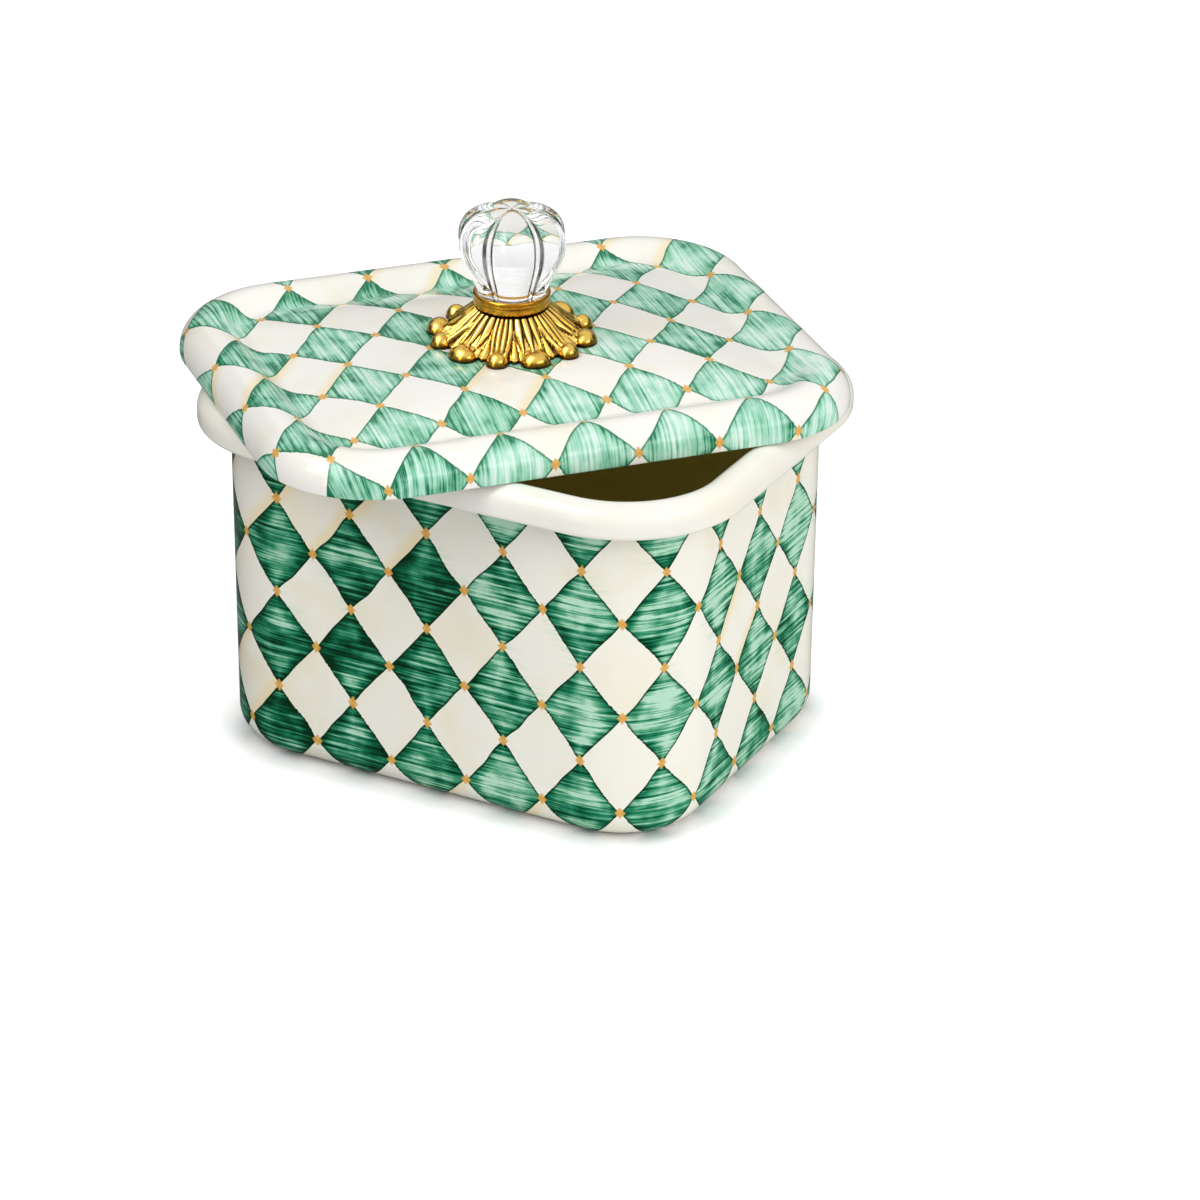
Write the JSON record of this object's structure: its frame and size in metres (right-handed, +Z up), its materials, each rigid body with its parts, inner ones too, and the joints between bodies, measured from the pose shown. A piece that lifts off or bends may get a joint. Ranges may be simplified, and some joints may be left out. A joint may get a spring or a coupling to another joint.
{
  "type": "recipe card box",
  "caption": "Rounded rectangular enamelled steel box with a rolled rim and a loose lid that lifts off by a fluted glass knob on a beaded brass skirt; holds index cards.",
  "frame": {"origin": "centre of the box's flat base, on the surface it stands on", "axes": "+Z up, +X along the box's long side, -Y towards the front"},
  "size_m": [0.2208, 0.2238, 0.1827],
  "materials": {
    "enamel": "glossy enamel, green and cream diamonds on the outside, cream rim, olive brown inside",
    "cast_brass": "polished cast brass, darker in the grooves",
    "bronzed_brass": "satin bronzed brass",
    "clear_glass": "clear pressed glass",
    "white_cement": "white cement",
    "black_rubber": "matt",
    "plated_steel": "zinc plated"
  },
  "bodies": {
    "box": {"box_body": "enamel"},
    "lid_carrier": {"knob_screw": "plated_steel", "flat_washer": "plated_steel"},
    "lid": {"lid_pan": "enamel", "knob_base": "cast_brass", "knob_collar": "bronzed_brass", "glass_cement": "white_cement", "glass_knob": "clear_glass", "rubber_washer": "black_rubber"}
  },
  "joints": [
    {"name": "lid_lift", "type": "slide", "parent": "box", "child": "lid_carrier", "axis": [0, 0, 1], "range_m": [0, 0.15]},
    {"name": "lid_turn", "type": "hinge", "parent": "lid_carrier", "child": "lid", "pos_m": [-0.0068, 0.0023, 0.1372], "axis": [0, 0, 1], "continuous": true}
  ]
}
